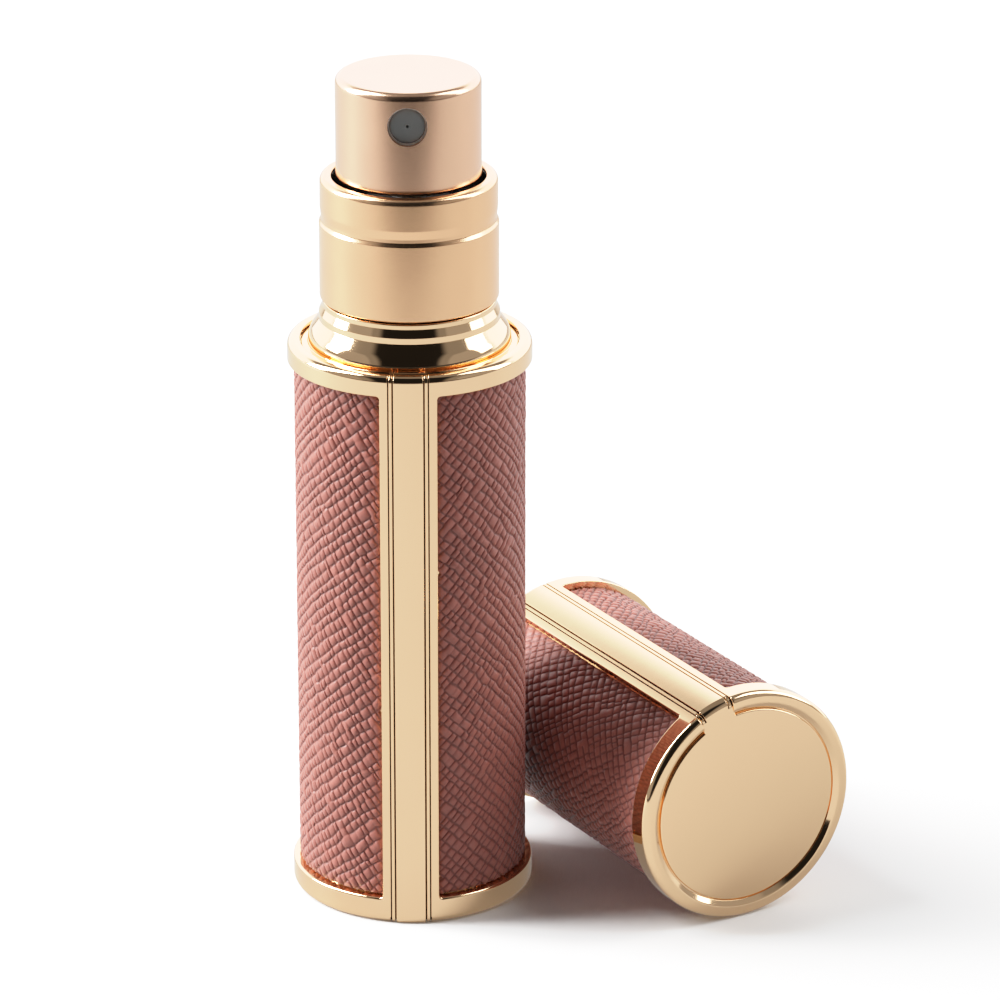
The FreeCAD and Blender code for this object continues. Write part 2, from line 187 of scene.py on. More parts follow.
class Skin:
    """Gathers patches of faces with a normal for each face corner, and makes one welded mesh of them."""

    def __init__(self):
        self.points = []
        self.normals = []
        self.faces = []
        self.painted_shade_levels = []

    def add(self, points, normals, faces, recess=0.0):
        """recess is 1 where the colour gets painted shade: in the grooves and on the window's upright sides."""
        start = len(self.points)
        self.painted_shade_levels.extend([recess] * len(points))
        self.points.extend(points)
        self.normals.extend(normals)
        self.faces.extend([start + i for i in face] for face in faces)

    def grid(self, rows, normal_rows, recess=0.0):
        """Rows of points, all of one length. The faces' winding follows the normals."""
        high, wide = len(rows), len(rows[0])
        points = [p for row in rows for p in row]
        normals = [n for row in normal_rows for n in row]
        faces = []
        for i in range(high - 1):
            for j in range(wide - 1):
                faces.append([i * wide + j, i * wide + j + 1, (i + 1) * wide + j + 1, (i + 1) * wide + j])
        self.add(points, normals, faces, recess)

    def cap(self, points, normal):
        self.add(points, [normal] * len(points), [list(range(len(points)))])

    def make(self, name, material, place=None):
        points = np.array(self.points, float)
        normals = np.array(self.normals, float)
        _, first, welded = np.unique(np.round(points / 1e-5).astype(np.int64), axis=0, return_index=True,
                                     return_inverse=True)
        welded = welded.reshape(-1)
        faces, corner_normals = [], []
        for face in self.faces:
            kept = [i for k, i in enumerate(face) if welded[i] != welded[face[k - 1]]]
            if len(kept) < 3:
                continue
            a, b, c = points[kept[0]], points[kept[1]], points[kept[2]]
            flat = np.cross(b - a, c - b)
            if len(kept) > 4:
                shape = points[kept]
                flat = np.cross(shape, np.roll(shape, -1, axis=0)).sum(0)
            if flat @ normals[kept].sum(0) < 0:
                kept.reverse()
            faces.append([int(welded[i]) for i in kept])
            corner_normals.extend(normals[i] for i in kept)
        mesh = bpy.data.meshes.new(name)
        mesh.from_pydata((points[first] * MM).tolist(), [], faces)
        mesh.polygons.foreach_set("use_smooth", [True] * len(mesh.polygons))
        mesh.normals_split_custom_set([Vector(n).normalized() for n in corner_normals])
        # The recess attribute carries painted shade into the gold's colour.
        depth = mesh.attributes.new("recess", "FLOAT", "POINT")
        depth.data.foreach_set("value", np.array(self.painted_shade_levels)[first])
        return make_piece(name, mesh, material, place)


def sweep(skin, corners):
    """Solid of revolution."""
    angles = np.linspace(0, TURN, SEGMENTS + 1)
    angles[-1] = 0.0
    ways = [around(a)[0] for a in angles]
    for run in outline(corners):
        rows, normal_rows = [], []
        for point, n in run:
            rows.append([w * point[0] + np.array([0, 0, point[1]]) for w in ways])
            normal_rows.append([w * n[0] + np.array([0, 0, n[1]]) for w in ways])
        skin.grid(rows, normal_rows)


def band_angles(x0, x1, step):
    """Angles from x0 to x1 (mm along the rings' outside), about step apart."""
    count = max(1, math.ceil(abs(x1 - x0) / step))
    return np.linspace(x0 / RING_R, x1 / RING_R, count + 1)


EDGE_TURNS = [math.radians(a) for a in (0, 22.5, 45, 67.5, 90)]


def sector(skin, corners, x0, x1, edge, step=FACE_STEP, skip=()):
    """Part of a ring from x0 to x1 (mm along the rings' outside), with flat ends whose edges are rounded.
    edge gives the rounding at a height, and skip leaves out the runs of these numbers."""
    runs = outline(corners)
    ways = inset_ways(runs)
    for end, sign in ((x0, 1), (x1, -1)):
        end_angle = end / RING_R
        loops = []
        for turn in EDGE_TURNS:
            loop = []
            for run, run_ways in zip(runs, ways):
                part = []
                for (point, n), way in zip(run, run_ways):
                    rounding = edge(point[1])
                    flat = point - way * rounding * (1 - math.sin(turn))
                    angle = end_angle + sign * rounding * (1 - math.cos(turn)) / RING_R
                    outward, sideways = around(angle)
                    place = outward * flat[0] + np.array([0, 0, flat[1]])
                    lean = outward * n[0] + np.array([0, 0, n[1]])
                    part.append((place, lean * math.sin(turn) - sideways * sign * math.cos(turn)))
                loop.append(part)
            loops.append(loop)
        for number in range(len(runs)):
            rows = [[p for p, _ in loop[number]] for loop in loops]
            normal_rows = [[n for _, n in loop[number]] for loop in loops]
            skin.grid(rows, normal_rows)
        rim = [p for part in loops[0] for p, _ in part[:-1]]
        skin.cap(rim, -sign * around(end_angle)[1])
    for number, run in enumerate(runs):
        if number in skip:
            continue
        rows, normal_rows = [], []
        for point, n in run:
            rounding = edge(point[1])
            angles = band_angles(x0 + rounding, x1 - rounding, step)
            angles = np.concatenate([angles[:1], band_angles(x0, x1, step)[1:-1], angles[-1:]])
            frames = [around(a)[0] for a in angles]
            rows.append([w * point[0] + np.array([0, 0, point[1]]) for w in frames])
            normal_rows.append([w * n[0] + np.array([0, 0, n[1]]) for w in frames])
        skin.grid(rows, normal_rows)


def vee(skin, corners, x0, x1, depth):
    """V-shaped groove from x0 to x1 (mm along the rings' outside) that follows an outline at a depth under it."""
    lip = 0.03
    middle = (x0 + x1) / 2
    slope = math.atan2(depth - lip, (x1 - x0) / 2)
    runs = outline(corners)
    for run, ways in zip(runs, inset_ways(runs)):
        for edge_x, sign in ((x0, 1), (x1, -1)):
            rows, normal_rows = [], []
            for x, inset in ((edge_x, lip), (middle, depth)):
                outward, sideways = around(x / RING_R)
                row, normal_row = [], []
                for (point, n), way in zip(run, ways):
                    at = point - way * inset
                    row.append(outward * at[0] + np.array([0, 0, at[1]]))
                    lean = outward * n[0] + np.array([0, 0, n[1]])
                    normal_row.append(lean * math.cos(slope) + sideways * sign * math.sin(slope))
                rows.append(row)
                normal_rows.append(normal_row)
            # recess=1.0 paints shade into the groove's colour.
            skin.grid(rows, normal_rows, recess=1.0)


# --- The frame, with its window -----------------------------------------------------------------------

def window_path(x0, x1, z0, z1, r):
    """Rounded rectangle round the rings' outside: (point, normal into the window), anticlockwise from outside."""
    parts = 6

    def corner(x, z, start):
        turns = [math.radians(start + 90 * k / parts) for k in range(1, parts)]
        return [((x + r * math.cos(a), z + r * math.sin(a)), (-math.cos(a), -math.sin(a))) for a in turns]

    columns = band_angles(x0 + r, x1 - r, FACE_STEP) * RING_R
    path = [((x, z0), (0, 1)) for x in columns]
    path += corner(x1 - r, z0 + r, -90)
    path += [((x1, z0 + r), (-1, 0)), ((x1, z1 - r), (-1, 0))]
    path += corner(x1 - r, z1 - r, 0)
    path += [((x, z1), (0, -1)) for x in columns[::-1]]
    path += corner(x0 + r, z1 - r, 90)
    path += [((x0, z1 - r), (1, 0)), ((x0, z0 + r), (1, 0))]
    path += corner(x0 + r, z0 + r, 180)
    return path


def window_rounding(nz):
    """Rounding of the window's edge: fuller along the closed end's ring, crisp along the rails and the mouth."""
    crisp, full = 0.11, 0.25
    return crisp + (full - crisp) * max(nz, 0.0)


def window_edge(skin, path, r_in):
    """Rounded edge of the window and its side wall down to r_in. Along the rails the wall gets painted shade in
    its colour.
    """
    closed = path + path[:1]
    rows, normal_rows = [], []
    for turn in EDGE_TURNS:
        row, normal_row = [], []
        for (x, z), (nx, nz) in closed:
            rounding = window_rounding(nz)
            reach = rounding * (1 - math.sin(turn))
            r = RING_R - rounding * (1 - math.cos(turn))
            outward, sideways = around((x - nx * reach) / RING_R)
            into = sideways * nx + np.array([0, 0, nz])
            row.append(outward * r + np.array([0, 0, z - nz * reach]))
            normal_row.append(outward * math.cos(turn) + into * math.sin(turn))
        rows.append(row)
        normal_rows.append(normal_row)
    skin.grid(rows, normal_rows)
    upright = [abs(nz) < 0.01 for _, (_, nz) in closed]
    low_row = [around(x / RING_R)[0] * r_in + np.array([0, 0, z]) for (x, z), _ in closed]
    for i in range(len(path)):
        pair = slice(i, i + 2)
        normals = normal_rows[-1][pair]
        # Painted shade on the upright walls along the rails, for the dark gap beside the leather.
        skin.grid([rows[-1][pair], low_row[pair]], [normals, normals], recess=float(all(upright[pair])))


def make_frame(name, length, material, place=None):
    """Mouth ring, ring round the closed end and both rails, as one plated piece."""
    tube_room = TUBE_R + 0.02
    disc_room = DISC_R + 0.15
    lip = 0.6                # thickness of the mouth ring over the tube
    end_ring = 0.62          # thickness of the ring round the closed end
    slope_width, slope_height = 0.55, 0.33
    corners = [
        (RING_R, 0, END_EDGE),
        (RING_R, length, RIM_EDGE),
        (MOUTH_R, length, 0.12),
        (MOUTH_R, length - lip),
        (tube_room, length - lip),
        (tube_room, end_ring),
        (disc_room, end_ring),
        (disc_room, slope_height, 0.06),
        (disc_room + slope_width, 0.0, 0.5),
    ]
    runs = outline(corners)
    walls = [i for i, run in enumerate(runs)
             if len(run) == 2 and abs(run[0][0][1] - run[1][0][1]) > length / 2]

    def edge(z):
        groove_edge, end_edge = 0.045, 0.16
        return end_edge if z < END_EDGE else groove_edge

    skin = Skin()
    far = TURN * RING_R
    sector(skin, corners, RAIL_IN, far - RAIL_IN, edge, skip=walls)
    path = window_path(RAIL_OUT, far - RAIL_OUT, END_RING_W, length - MOUTH_RING_W, WINDOW_CORNER)
    outer, inner = sorted(walls, key=lambda i: -runs[i][0][0][0])
    rounded = [(x - nx * window_rounding(nz), z - nz * window_rounding(nz)) for (x, z), (nx, nz) in path]
    sharp = [at for at, _ in path]
    for number, hole, way_out in ((outer, rounded, 1), (inner, sharp, -1)):
        ends = sorted((runs[number][0][0], runs[number][1][0]), key=lambda p: p[1])
        wall_between(skin, ends, edge, hole, way_out)
    window_edge(skin, path, tube_room)
    return skin.make(name, material, place)


def is_inside(x, z, loop):
    """Whether a point is inside a closed loop of points, by counting the sides to its right."""
    x0, z0 = loop[:, 0], loop[:, 1]
    x1, z1 = np.roll(x0, -1), np.roll(z0, -1)
    spans = (z0 > z) != (z1 > z)
    crossing = x0[spans] + (z - z0[spans]) / (z1[spans] - z0[spans]) * (x1[spans] - x0[spans])
    return np.count_nonzero(crossing > x) % 2 == 1


def wall_between(skin, ends, edge, hole, way_out):
    """Fills one long wall of the frame, between the heights of its two ends, all round but for the hole."""
    low, high = ends
    first, last = RAIL_IN, TURN * RING_R - RAIL_IN
    columns = band_angles(first, last, FACE_STEP)[1:-1] * RING_R
    bottom_row = [first + edge(low[1]), *columns, last - edge(low[1])]
    top_row = [first + edge(high[1]), *columns, last - edge(high[1])]
    ring = [(x, low[1]) for x in bottom_row] + [(x, high[1]) for x in top_row[::-1]]
    verts = [Vector(p) for p in ring + hole]
    edges = [(i, (i + 1) % len(ring)) for i in range(len(ring))]
    edges += [(len(ring) + i, len(ring) + (i + 1) % len(hole)) for i in range(len(hole))]
    flat, _, faces, _, _, _ = delaunay_2d_cdt(verts, edges, [], 1, 1e-7)
    loop = np.array(hole)
    kept = []
    for face in faces:
        x = sum(flat[i].x for i in face) / len(face)
        z = sum(flat[i].y for i in face) / len(face)
        if not is_inside(x, z, loop):
            kept.append(list(face))
    points, normals = [], []
    for p in flat:
        outward = around(p.x / RING_R)[0]
        points.append(outward * low[0] + np.array([0, 0, p.y]))
        normals.append(outward * way_out)
    skin.add(points, normals, kept)


# --- The shell under the leather ----------------------------------------------------------------------

def keyhole_plate(skin, level, rounding, depth):
    """Flat disc of the closed end, facing down at the given level, with its tab towards the strip."""
    tab_r = RING_R - 0.9
    start = math.asin(LAND_OUT / DISC_R)
    path = [((LAND_OUT, -math.sqrt(tab_r**2 - LAND_OUT**2)), (1, 0))]
    path.append(((LAND_OUT, -DISC_R * math.cos(start)), (1, 0)))
    for a in np.linspace(start, TURN - start, SEGMENTS):
        path.append(((DISC_R * math.sin(a), -DISC_R * math.cos(a)), (math.sin(a), -math.cos(a))))
    path.append(((-LAND_OUT, -DISC_R * math.cos(start)), (-1, 0)))
    path.append(((-LAND_OUT, -math.sqrt(tab_r**2 - LAND_OUT**2)), (-1, 0)))
    rows, normal_rows = [], []
    for turn in EDGE_TURNS:
        drop, reach = rounding * (1 - math.cos(turn)), rounding * (1 - math.sin(turn))
        rows.append([np.array([x - nx * reach, y - ny * reach, level + drop]) for (x, y), (nx, ny) in path])
        normal_rows.append([np.array([nx * math.sin(turn), ny * math.sin(turn), -math.cos(turn)])
                            for _, (nx, ny) in path])
    skin.grid(rows, normal_rows)
    wall = [np.array([x, y, level + depth]) for (x, y), _ in path]
    skin.grid([rows[-1], wall], [normal_rows[-1], normal_rows[-1]])
    skin.cap(rows[0], np.array([0, 0, -1.0]))


def make_core(name, length, recess, strip_rounding, material, place=None):
    """Metal shell under the leather, its flat closed end, the strip up the front and the lands beside it."""
    plate_z, floor_z = 0.6, 1.0      # outside and inside of the closed end
    ring_low = length - MOUTH_RING_W - 0.03
    strip_back = 11.2
    bar_back = TUBE_R - 0.05
    tube_top = length - 0.7
    skin = Skin()
    keyhole_plate(skin, recess, 0.16, plate_z - recess)
    sweep(skin, [(0, plate_z), (TUBE_R, plate_z), (TUBE_R, tube_top, 0.08), (TUBE_IN, tube_top, 0.08),
                 (TUBE_IN, floor_z, 0.3), (0, floor_z)])
    flush = 0.004
    start_r = DISC_R - 1

    def bar(face_r, low, rounding):
        return [(start_r, low), (face_r, low, rounding), (face_r, length, RIM_EDGE), (strip_back, length),
                (strip_back, ring_low), (bar_back, ring_low), (bar_back, floor_z), (start_r, floor_z)]

    strip = bar(STRIP_R, recess - flush, strip_rounding)
    sector(skin, strip, -STRIP_HALF, STRIP_HALF, lambda z: 0.05, step=0.15)
    land = bar(RING_R, recess + 0.03, strip_rounding + 0.1)
    for side in (-1, 1):
        x0, x1 = sorted((side * LAND_IN, side * LAND_OUT))
        sector(skin, land, x0, x1, lambda z: 0.04, step=0.1)
        for inner, outer in ((STRIP_HALF, LAND_IN), (LAND_OUT, RAIL_IN)):
            x0, x1 = sorted((side * inner, side * outer))
            vee(skin, land, x0, x1, GROOVE_DEPTH)
    return skin.make(name, material, place)


# --- Leather ------------------------------------------------------------------------------------------

def uneven(rng, total, mean):
    """Positions of groove lines at an uneven spacing."""
    gaps = rng.uniform(0.84, 1.16, math.ceil(total / mean) + 2) * mean
    return np.concatenate([[0.0], np.cumsum(gaps)])


def drift(rng, shape, axis, reach, size):
    """Noise that changes slowly along one axis, over about reach cells."""
    kernel = np.hanning(reach + 2)[1:-1]
    kernel /= np.sqrt((kernel**2).sum())
    return np.apply_along_axis(lambda row: np.convolve(row, kernel, "same"), axis, rng.normal(size=shape)) * size


def emboss(rng, width, height, rows, files):
    """Crosshatched sheet as a grid: across, up and relief (0 in the grooves to 1 on the cells). rows and files
    are the two families of grooves, each a (slope, spacing): rows run on, files step from row to row."""
    (row_slope, row_gap), (file_slope, file_gap) = rows, files
    row_way = np.array([math.cos(row_slope), math.sin(row_slope)])
    file_way = np.array([math.cos(file_slope), math.sin(file_slope)])
    turn = row_way[0] * file_way[1] - row_way[1] * file_way[0]
    half_diagonal = math.hypot(width, height) / 2 + 2.0
    row_lines = uneven(rng, 2 * half_diagonal, row_gap) - half_diagonal
    file_lines = uneven(rng, 2 * half_diagonal, file_gap) - half_diagonal
    shape = (len(row_lines), len(file_lines))
    drift_reach = 3
    row_drift, row_wobble = 0.065, 0.055
    file_drift, file_jump = 0.10, 0.13
    cross_row = row_lines[:, None] + drift(rng, shape, 1, drift_reach, row_drift)
    cross_row = cross_row + rng.normal(size=shape) * row_wobble
    cross_file = file_lines[None, :] + drift(rng, shape, 0, drift_reach, file_drift)
    cross_file = cross_file + rng.uniform(-file_jump, file_jump, shape)
    slant = rng.normal(size=shape) * 0.05

    def strengths():
        """How deep each groove is cut: a few are weak, and the rest nearly full."""
        weak_share = 0.05
        weak = rng.random(shape) < weak_share
        return np.where(weak, rng.uniform(0.0, 0.45, shape), rng.uniform(0.80, 1.0, shape))

    row_cut, file_cut = strengths(), strengths()
    lift = rng.uniform(0.78, 1.0, shape)
    cell_lean = 0.07
    lean_row, lean_file = rng.normal(size=shape) * cell_lean, rng.normal(size=shape) * cell_lean

    # Places across a cell, and how much of its own groove and of the next one reaches each.
    places = np.array([0.0, 0.09, 0.20, 0.80, 0.91])
    cut = np.array([1.0, 0.60, 0.07, 0.0, 0.0])
    cut_back = np.array([0.0, 0.0, 0.0, 0.07, 0.60])
    count = len(places)
    cells = (shape[0] - 1, shape[1] - 1)
    t, u = places[None, :, None, None], places[None, None, None, :]

    def at(grid, i, j):
        return grid[i:i + cells[0], j:j + cells[1]][:, None, :, None]

    def blend(grid):
        return ((1 - t) * (1 - u) * at(grid, 0, 0) + t * (1 - u) * at(grid, 1, 0)
                + (1 - t) * u * at(grid, 0, 1) + t * u * at(grid, 1, 1))

    def stepped(grid, lean):
        """Each row of cells keeps its own files; on the groove between two rows they meet halfway."""
        def files_of(row, past_middle):
            return ((1 - u) * (at(grid, row, 0) + at(lean, row, 0) * past_middle)
                    + u * (at(grid, row, 1) + at(lean, row, 1) * past_middle))

        own, last = files_of(1, t - 0.5), files_of(0, 0.5)
        return np.where(t == 0, (own + last) / 2, own)

    keep = ((1 - at(row_cut, 0, 0) * cut[None, :, None, None])
            * (1 - at(row_cut, 1, 0) * cut_back[None, :, None, None])
            * (1 - at(file_cut, 0, 0) * cut[None, None, None, :])
            * (1 - at(file_cut, 0, 1) * cut_back[None, None, None, :]))
    lean = 1 + at(lean_row, 0, 0) * (t - 0.5) * 2 + at(lean_file, 0, 0) * (u - 0.5) * 2
    rise = keep * np.minimum(at(lift, 0, 0) * lean, 1.0)
    size = (cells[0] * count, cells[1] * count)
    row, file, rise = (np.broadcast_to(grid, (cells[0], count, cells[1], count)).reshape(size)
                       for grid in (blend(cross_row), stepped(cross_file, slant), rise))
    across = (row * file_way[0] - file * row_way[0]) / turn
    up = (row * file_way[1] - file * row_way[1]) / turn
    return across, up, rise


def make_leather(name, length, seed, material, place=None):
    """Embossed wrap, in two halves that meet at the back: the rows rise to the right on the left half and fall to
    the right on the right half."""
    rng = np.random.default_rng(seed)
    relief = 0.22
    hem = -1.2               # height of the turned-down edge, in reliefs
    rail_tuck, end_tuck, tuck_depth = 0.24, 0.16, 0.34
    seam_reach, seam_depth = 0.12, 0.06
    margin = 0.4             # of the grid past the edge that it is cut to
    base_r = LEATHER_R - relief
    half = (math.pi * RING_R - RAIL_OUT - LEATHER_GAP) * base_r / RING_R
    height = length - END_RING_W - MOUTH_RING_W - 2 * LEATHER_GAP
    # Slope and spacing of the grooves.
    rise_back = math.radians(40), 0.95
    fall_back = math.radians(-55), 0.79
    fall_right = math.radians(-45.5), 0.93
    rise_right = math.radians(46.5), 0.77
    mesh = bpy.data.meshes.new(name)
    work = bmesh.new()
    relief_layer = work.verts.layers.float.new("relief")
    for side, rows, files in ((1, rise_back, fall_back), (-1, fall_right, rise_right)):
        across, up, rise = emboss(rng, half, height, rows, files)
        index = np.arange(across.size).reshape(across.shape)
        quads = np.stack([index[:-1, :-1], index[1:, :-1], index[1:, 1:], index[:-1, 1:]], -1).reshape(-1, 4)
        across, up, rise = across.ravel(), up.ravel(), rise.ravel()
        near = ((np.abs(across) < half / 2 + margin) & (np.abs(up) < height / 2 + margin))[quads].all(1)
        used, quads = np.unique(quads[near], return_inverse=True)
        sheet = bpy.data.meshes.new("sheet")
        flat = np.stack([across[used] + side * half / 2, up[used] + height / 2, rise[used]], -1)
        sheet.from_pydata(flat.tolist(), [], quads.reshape(-1, 4).tolist())
        part = bmesh.new()
        part.from_mesh(sheet)
        x0, x1 = sorted((0.0, side * half))
        for point, normal in (((x0, 0, 0), (-1, 0, 0)), ((x1, 0, 0), (1, 0, 0)),
                              ((0, 0, 0), (0, -1, 0)), ((0, height, 0), (0, 1, 0))):
            everything = part.verts[:] + part.edges[:] + part.faces[:]
            bmesh.ops.bisect_plane(part, geom=everything, plane_co=point, plane_no=normal, clear_outer=True,
                                   dist=1e-5)
        rim = [edge for edge in part.edges if edge.is_boundary]
        for vert in bmesh.ops.extrude_edge_only(part, edges=rim)["geom"]:
            if isinstance(vert, bmesh.types.BMVert):
                vert.co.z = hem
        bmesh.ops.recalc_face_normals(part, faces=part.faces[:])
        part.to_mesh(sheet)
        part.free()
        work.from_mesh(sheet)
        bpy.data.meshes.remove(sheet)
    for vert in work.verts:
        near_rail = half - abs(vert.co.x)
        near_end = min(vert.co.y, height - vert.co.y)
        tuck = max(0.0, 1 - near_rail / rail_tuck, 1 - near_end / end_tuck)
        seam = max(0.0, 1 - abs(vert.co.x) / seam_reach)
        # relief is 0 down in the grooves and along the seam at the back, where the leather's colour gets painted
        # shade.
        vert[relief_layer] = max(vert.co.z, 0.0) * (1 - seam)
        low = vert.co.z * relief
        if vert.co.z > hem / 2:
            low -= tuck_depth * tuck**2 + seam_depth * seam
        angle = math.pi + vert.co.x / base_r
        r = base_r + low
        z = END_RING_W + LEATHER_GAP + vert.co.y
        vert.co = Vector((r * math.sin(angle), -r * math.cos(angle), z)) * MM
    work.to_mesh(mesh)
    work.free()
    mesh.polygons.foreach_set("use_smooth", [True] * len(mesh.polygons))
    return make_piece(name, mesh, material, place)


# --- Materials ----------------------------------------------------------------------------------------

WHITE = (1.0, 1.0, 1.0)


def new_material(name, color, metallic, roughness):
    material = bpy.data.materials.new(name)
    material.use_nodes = True
    shader = material.node_tree.nodes["Principled BSDF"]
    shader.inputs["Base Color"].default_value = (*color, 1)
    shader.inputs["Metallic"].default_value = metallic
    shader.inputs["Roughness"].default_value = roughness
    return material, shader


def noise(material, scale, detail=3.0):
    """Noise texture in object space, at a scale in features a metre."""
    nodes, links = material.node_tree.nodes, material.node_tree.links
    coords = nodes.new("ShaderNodeTexCoord")
    texture = nodes.new("ShaderNodeTexNoise")
    texture.inputs["Scale"].default_value = scale
    texture.inputs["Detail"].default_value = detail
    links.new(coords.outputs["Object"], texture.inputs["Vector"])
    return texture.outputs["Fac"]


def spread(material, fac, low, high, socket):
    """Drives a value socket with noise between low and high."""
    nodes, links = material.node_tree.nodes, material.node_tree.links
    ranger = nodes.new("ShaderNodeMapRange")
    ranger.inputs["From Min"].default_value = 0.3
    ranger.inputs["From Max"].default_value = 0.7
    ranger.inputs["To Min"].default_value = low
    ranger.inputs["To Max"].default_value = high
    links.new(fac, ranger.inputs["Value"])
    links.new(ranger.outputs["Result"], socket)


def tint(material, fac, dark, light, socket):
    """Drives a colour socket with noise or an attribute, between two colours."""
    nodes, links = material.node_tree.nodes, material.node_tree.links
    ramp = nodes.new("ShaderNodeValToRGB")
    ramp.color_ramp.elements[0].position = 0.3
    ramp.color_ramp.elements[0].color = (*dark, 1)
    ramp.color_ramp.elements[1].position = 0.7
    ramp.color_ramp.elements[1].color = (*light, 1)
    links.new(fac, ramp.inputs["Fac"])
    links.new(ramp.outputs["Color"], socket)


def bump(material, shader, fac, strength, distance):
    nodes, links = material.node_tree.nodes, material.node_tree.links
    node = nodes.new("ShaderNodeBump")
    node.inputs["Strength"].default_value = strength
    node.inputs["Distance"].default_value = distance
    links.new(fac, node.inputs["Height"])
    links.new(node.outputs["Normal"], shader.inputs["Normal"])


def scaled(color, factor):
    return tuple(min(1.0, c * factor) for c in color)


def shaded_tint(material, shader, fac, dark, light, attribute, at_none, at_full):
    """Base colour that varies between two colours, times a painted shade that follows an attribute of the mesh."""
    nodes, links = material.node_tree.nodes, material.node_tree.links
    shade = nodes.new("ShaderNodeMix")
    shade.data_type = "RGBA"
    shade.blend_type = "MULTIPLY"
    shade.inputs["Factor"].default_value = 1.0
    tint(material, fac, dark, light, shade.inputs["A"])
    depth = nodes.new("ShaderNodeAttribute")
    depth.attribute_name = attribute
    tint(material, depth.outputs["Fac"], at_none, at_full, shade.inputs["B"])
    links.new(shade.outputs["Result"], shader.inputs["Base Color"])


def polished_gold():
    """Polished plating with faint smudges, and painted shade in the grooves and on the window's upright sides."""
    gold = (0.95, 0.625, 0.36)
    material, shader = new_material("polished_gold", gold, 1.0, 0.07)
    smudge = noise(material, 90, 4)
    spread(material, smudge, 0.05, 0.085, shader.inputs["Roughness"])
    # Painted shade: the gold's colour falls to about a third where the recess attribute is 1.
    painted_shade = (0.32, 0.32, 0.32)
    shaded_tint(material, shader, smudge, scaled(gold, 0.985), scaled(gold, 1.01), "recess", WHITE, painted_shade)
    bump(material, shader, noise(material, 700, 2), 0.05, 0.00002)
    return material


def satin_gold(name, color, roughness):
    material, shader = new_material(name, color, 1.0, roughness)
    grain = noise(material, 9000, 3)
    spread(material, grain, roughness - 0.03, roughness + 0.03, shader.inputs["Roughness"])
    tint(material, noise(material, 220, 4), scaled(color, 0.97), scaled(color, 1.02), shader.inputs["Base Color"])
    bump(material, shader, grain, 0.10, 0.00002)
    return material


def leather():
    """Matte dyed leather, with painted shade down in the grooves."""
    rose = (0.31, 0.092, 0.068)
    material, shader = new_material("leather", rose, 0.0, 0.5)
    painted_shade = (0.60, 0.52, 0.50)
    mottle = noise(material, 260, 5)
    # Painted shade: the colour darkens where relief is 0, down in the grooves.
    shaded_tint(material, shader, mottle, scaled(rose, 0.92), scaled(rose, 1.08), "relief", painted_shade, WHITE)
    grain = noise(material, 7000, 4)
    spread(material, grain, 0.42, 0.58, shader.inputs["Roughness"])
    bump(material, shader, grain, 0.30, 0.00003)
    shader.inputs["Sheen Weight"].default_value = 0.12
    shader.inputs["Sheen Roughness"].default_value = 0.4
    return material


def plastic(name, color, roughness, translucence=0.0):
    material, shader = new_material(name, color, 0.0, roughness)
    tint(material, noise(material, 300, 3), scaled(color, 0.95), scaled(color, 1.03), shader.inputs["Base Color"])
    grain = noise(material, 5000, 3)
    spread(material, grain, roughness - 0.05, roughness + 0.07, shader.inputs["Roughness"])
    bump(material, shader, grain, 0.15, 0.00002)
    shader.inputs["Subsurface Weight"].default_value = translucence
    shader.inputs["Subsurface Radius"].default_value = (0.002, 0.002, 0.002)
    return material


def glass():
    material, shader = new_material("glass", (0.97, 0.99, 0.99), 0.0, 0.02)
    shader.inputs["Transmission Weight"].default_value = 1.0
    shader.inputs["IOR"].default_value = 1.47
    spread(material, noise(material, 120, 3), 0.01, 0.04, shader.inputs["Roughness"])
    return material


def steel():
    material, shader = new_material("steel", (0.62, 0.62, 0.63), 1.0, 0.22)
    spread(material, noise(material, 2000, 3), 0.16, 0.28, shader.inputs["Roughness"])
    return material


# --- Light, floor and camera --------------------------------------------------------------------------

def aim(thing, target):
    way = Vector(target) - thing.location
    thing.rotation_euler = way.to_track_quat("-Z", "Y").to_euler()


def softbox(name, place, target, width, height, power):
    light = bpy.data.lights.new(name, "AREA")
    light.shape = "RECTANGLE"
    light.size = width
    light.size_y = height
    light.energy = power
    lamp = show(name, light)
    lamp.location = place
    aim(lamp, target)


def band(nodes, links, value, low, high, at_low, at_high):
    """Smooth change of a value between two limits."""
    ranger = nodes.new("ShaderNodeMapRange")
    ranger.interpolation_type = "SMOOTHSTEP"
    ranger.inputs["From Min"].default_value = low
    ranger.inputs["From Max"].default_value = high
    ranger.inputs["To Min"].default_value = at_low
    ranger.inputs["To Max"].default_value = at_high
    links.new(value, ranger.inputs["Value"])
    return ranger.outputs["Result"]


